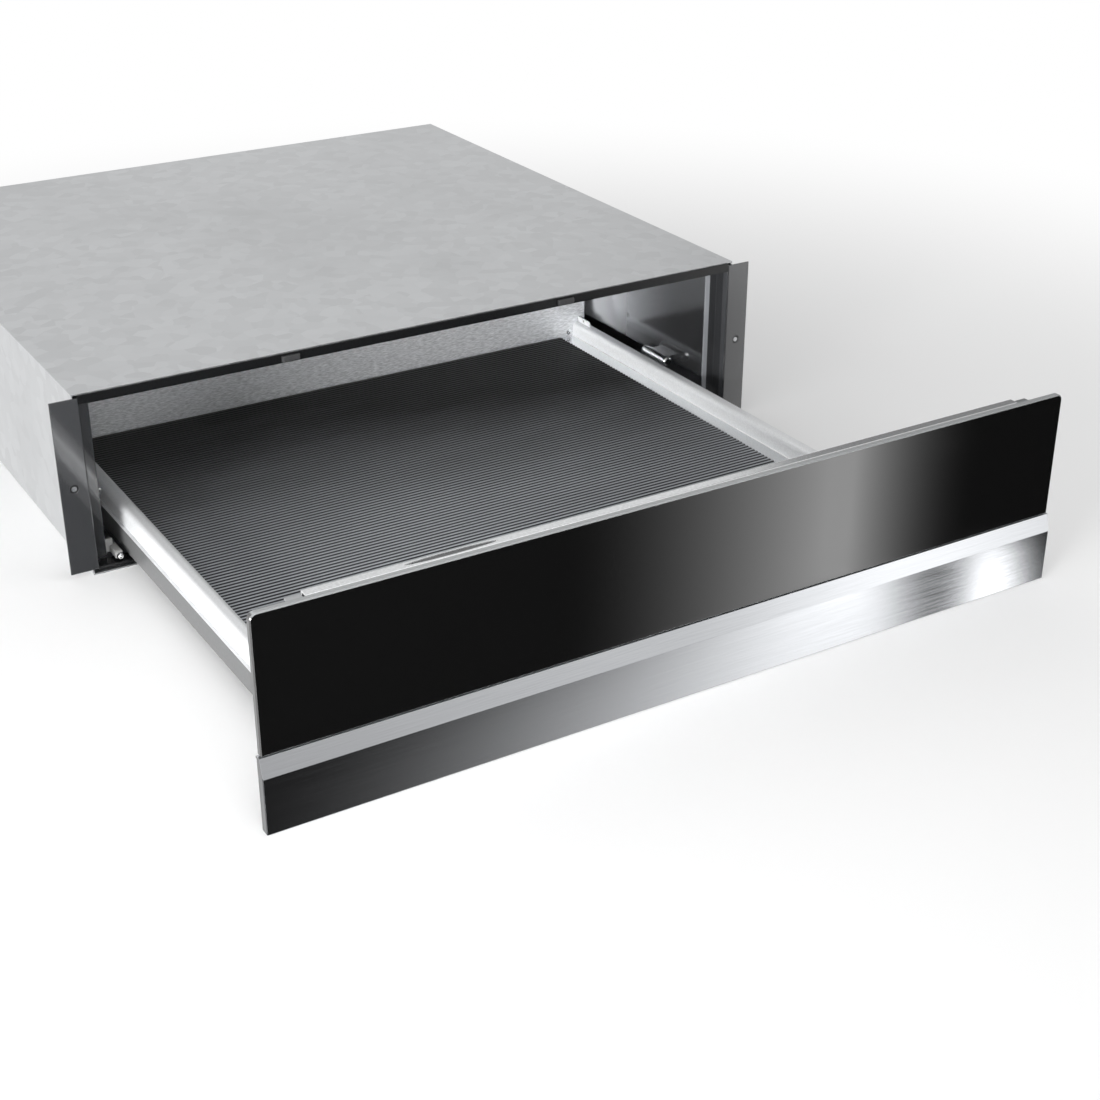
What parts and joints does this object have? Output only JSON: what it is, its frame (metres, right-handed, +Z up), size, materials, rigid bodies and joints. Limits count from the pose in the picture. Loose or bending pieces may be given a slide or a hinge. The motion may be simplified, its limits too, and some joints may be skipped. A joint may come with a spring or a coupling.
{
  "type": "built-in storage drawer",
  "caption": "Built-in storage drawer for a fitted kitchen niche: steel housing, full-extension ball slides, low-sided tray with ribbed mat, handle-less glass and steel front.",
  "frame": {"origin": "middle of the cabinet's front edge, on the niche floor, under the housing", "axes": "+X to the right seen from the front, -Y out of the niche towards the user, +Z up"},
  "size_m": [0.595, 0.884, 0.1405],
  "materials": {
    "zinc_steel": "zinc-coated, matt",
    "dark_gloss": "dark grey gloss enamel",
    "brushed_front": "fine horizontal brushing",
    "brushed_back": "fine brushing",
    "silver_metal": "satin silver",
    "black_glass": "back-printed black, polished",
    "slide_steel": "zinc-plated, satin",
    "bright_steel": "bright nickel",
    "rubber": "matt",
    "soft_rubber": "matt",
    "pale_plastic": "fine matt",
    "tape": "matt"
  },
  "bodies": {
    "housing": {"housing_base": "zinc_steel", "housing_back": "zinc_steel", "top_cover": "zinc_steel", "top_front_rail": "dark_gloss", "bottom_front_rail": "dark_gloss", "closing_buffers": "soft_rubber", "side_sheet_left": "zinc_steel", "side_sheet_right": "zinc_steel", "liner_left": "dark_gloss", "liner_right": "dark_gloss", "front_flange_left": "dark_gloss", "front_flange_right": "dark_gloss", "locating_bracket_left": "pale_plastic", "locating_bracket_right": "pale_plastic", "guide_barrel_left": "bright_steel", "guide_barrel_right": "bright_steel", "cabinet_rail_left": "slide_steel", "cabinet_rail_right": "slide_steel", "ball_studs": "bright_steel", "rail_supports": "zinc_steel", "rail_screws": "bright_steel", "rail_stops": "soft_rubber", "case_screws": "bright_steel", "mounting_screws": "bright_steel", "ejector_body": "pale_plastic", "ejector_spring": "slide_steel"},
    "drawer": {"front_plate": "brushed_front", "front_glass": "black_glass", "glass_tape": "tape", "front_carrier": "silver_metal", "panel_clips": "silver_metal", "corner_bracket_left": "zinc_steel", "corner_bracket_right": "zinc_steel", "front_screws": "bright_steel", "tray_floor": "silver_metal", "side_profile_left": "silver_metal", "side_profile_right": "silver_metal", "drawer_rail_left": "slide_steel", "drawer_rail_right": "slide_steel", "drawer_rail_screws": "bright_steel", "drawer_back": "brushed_back", "back_screws": "bright_steel", "ribbed_mat": "rubber", "ejector_striker": "silver_metal"},
    "ejector_rod": {"ejector_plunger": "pale_plastic", "ejector_tip": "soft_rubber"},
    "left_middle": {"middle_rail_left": "slide_steel"},
    "left_outer_cage": {"outer_cage_left": "slide_steel", "outer_balls_left": "bright_steel"},
    "left_inner_cage": {"inner_cage_left": "slide_steel", "inner_balls_left": "bright_steel"},
    "right_middle": {"middle_rail_right": "slide_steel"},
    "right_outer_cage": {"outer_cage_right": "slide_steel", "outer_balls_right": "bright_steel"},
    "right_inner_cage": {"inner_cage_right": "slide_steel", "inner_balls_right": "bright_steel"}
  },
  "joints": [
    {"name": "drawer_slide", "type": "slide", "parent": "housing", "child": "drawer", "axis": [0, -1, 0], "range_m": [-0.335, 0.112]},
    {"name": "ejector_slide", "type": "slide", "parent": "housing", "child": "ejector_rod", "axis": [0, -1, 0], "range_m": [0, 0.04]},
    {"name": "left_middle_slide", "type": "slide", "parent": "housing", "child": "left_middle", "axis": [0, -1, 0], "range_m": [-0.1675, 0.056]},
    {"name": "left_outer_cage_slide", "type": "slide", "parent": "housing", "child": "left_outer_cage", "axis": [0, -1, 0], "range_m": [-0.08375, 0.028]},
    {"name": "left_inner_cage_slide", "type": "slide", "parent": "housing", "child": "left_inner_cage", "axis": [0, -1, 0], "range_m": [-0.25125, 0.084]},
    {"name": "right_middle_slide", "type": "slide", "parent": "housing", "child": "right_middle", "axis": [0, -1, 0], "range_m": [-0.1675, 0.056]},
    {"name": "right_outer_cage_slide", "type": "slide", "parent": "housing", "child": "right_outer_cage", "axis": [0, -1, 0], "range_m": [-0.08375, 0.028]},
    {"name": "right_inner_cage_slide", "type": "slide", "parent": "housing", "child": "right_inner_cage", "axis": [0, -1, 0], "range_m": [-0.25125, 0.084]}
  ],
  "couplings": [
    {"joint": "left_middle_slide", "follows": "drawer_slide", "ratio": 0.5},
    {"joint": "left_outer_cage_slide", "follows": "drawer_slide", "ratio": 0.25},
    {"joint": "left_inner_cage_slide", "follows": "drawer_slide", "ratio": 0.75},
    {"joint": "right_middle_slide", "follows": "drawer_slide", "ratio": 0.5},
    {"joint": "right_outer_cage_slide", "follows": "drawer_slide", "ratio": 0.25},
    {"joint": "right_inner_cage_slide", "follows": "drawer_slide", "ratio": 0.75}
  ]
}
